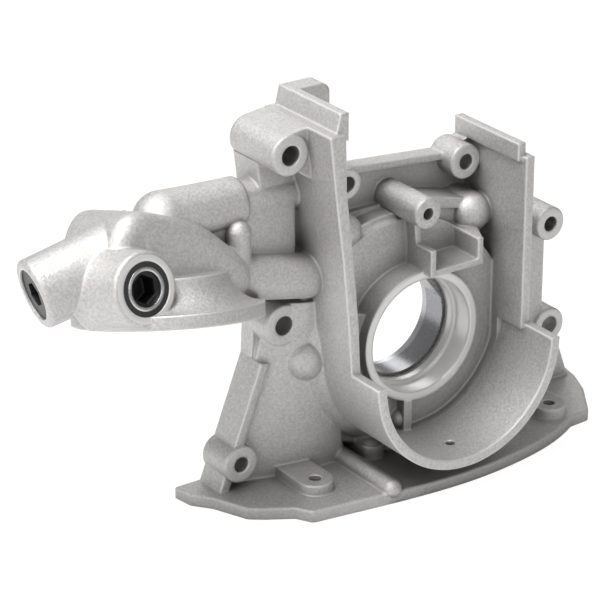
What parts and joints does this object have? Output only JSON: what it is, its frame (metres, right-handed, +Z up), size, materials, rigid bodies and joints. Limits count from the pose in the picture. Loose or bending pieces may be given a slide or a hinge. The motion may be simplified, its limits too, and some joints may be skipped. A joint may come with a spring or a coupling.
{
  "type": "engine oil pump",
  "caption": "Internal gear oil pump in a die-cast timing end cover with crank seal boss, belt guard walls, sump flange, relief valve and spin-on filter head",
  "frame": {"origin": "crankshaft axis at the front face of the seal boss", "axes": "+X to the right seen from the front, +Y back to the cylinder block, +Z up"},
  "size_m": [0.2763, 0.0808, 0.1685],
  "materials": {
    "cast_aluminium": "satin die casting with machined faces",
    "gear_steel": "sintered and ground, lightly oiled",
    "cover_steel": "ground plate",
    "bright_steel": "bright zinc plate",
    "spring_steel": "drawn wire",
    "black_steel": "black oxide, low sheen",
    "seal_rubber": "moulded, satin",
    "copper_washer": "soft crush washer"
  },
  "bodies": {
    "housing": {"pump_housing": "cast_aluminium", "pump_cover": "cover_steel", "cover_screws": "bright_steel", "cover_dowels": "bright_steel", "relief_spring": "spring_steel", "relief_plug": "black_steel", "relief_washer": "copper_washer", "side_plug": "bright_steel", "side_plug_seal": "seal_rubber", "bypass_seat": "bright_steel", "bypass_spring": "spring_steel", "gallery_ball": "bright_steel"},
    "drive": {"drive_gear": "gear_steel"},
    "ring": {"ring_gear": "gear_steel"},
    "piston": {"relief_piston": "gear_steel"},
    "disc": {"bypass_disc": "bright_steel"}
  },
  "joints": [
    {"name": "ring_gear_spin", "type": "hinge", "parent": "housing", "child": "ring", "pos_m": [-0.007, 0.0215, 0], "axis": [0, 1, 0], "continuous": true},
    {"name": "drive_gear_spin", "type": "hinge", "parent": "housing", "child": "drive", "pos_m": [0, 0.0215, 0], "axis": [0, 1, 0], "continuous": true},
    {"name": "relief_piston_slide", "type": "slide", "parent": "housing", "child": "piston", "axis": [-0.9652, 0.1005, -0.2413], "range_m": [0, 0.006], "stiffness_N_per_m": 4000, "springref_m": -0.004, "deforming": ["relief_spring"]},
    {"name": "bypass_disc_slide", "type": "slide", "parent": "housing", "child": "disc", "axis": [0.134, 0.2829, 0.9497], "range_m": [0, 0.0025], "stiffness_N_per_m": 1000, "springref_m": -0.002, "deforming": ["bypass_spring"]}
  ],
  "couplings": [
    {"joint": "drive_gear_spin", "follows": "ring_gear_spin", "ratio": 1.2414}
  ]
}
